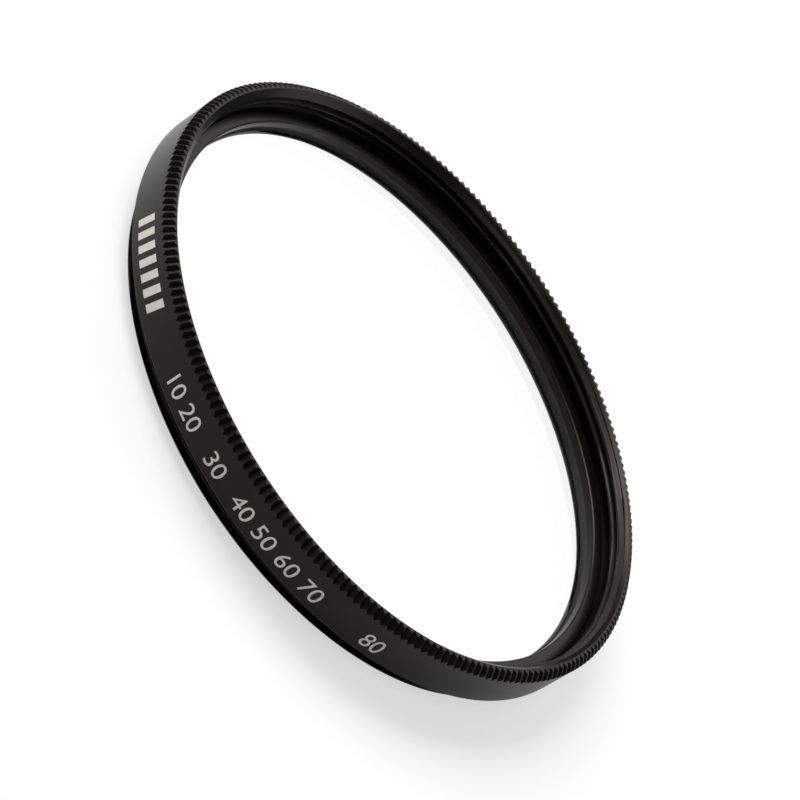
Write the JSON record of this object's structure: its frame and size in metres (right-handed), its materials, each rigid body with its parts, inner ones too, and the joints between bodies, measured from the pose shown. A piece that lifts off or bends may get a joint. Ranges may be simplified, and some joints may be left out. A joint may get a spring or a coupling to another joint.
{
  "type": "screw-in lens filter",
  "caption": "Flat round screw-in filter for a camera lens: a black metal rim, knurled at its front edge and threaded at both ends, holds a clear glass disc under a retaining ring.",
  "frame": {"origin": "centre of the rear end of the male thread, on the optical axis", "axes": "+Z along the optical axis, towards the front of the filter, where the light comes in; X and Y lie in the plane of the rear end, and the filter is the same all the way round"},
  "size_m": [0.051, 0.051, 0.0057],
  "materials": {
    "black_anodised": "satin black anodised, fine turned",
    "clear_glass": "polished, coated"
  },
  "bodies": {
    "root": {"filter_ring": "black_anodised", "glass_disc": "clear_glass", "retaining_ring": "black_anodised"}
  },
  "joints": []
}
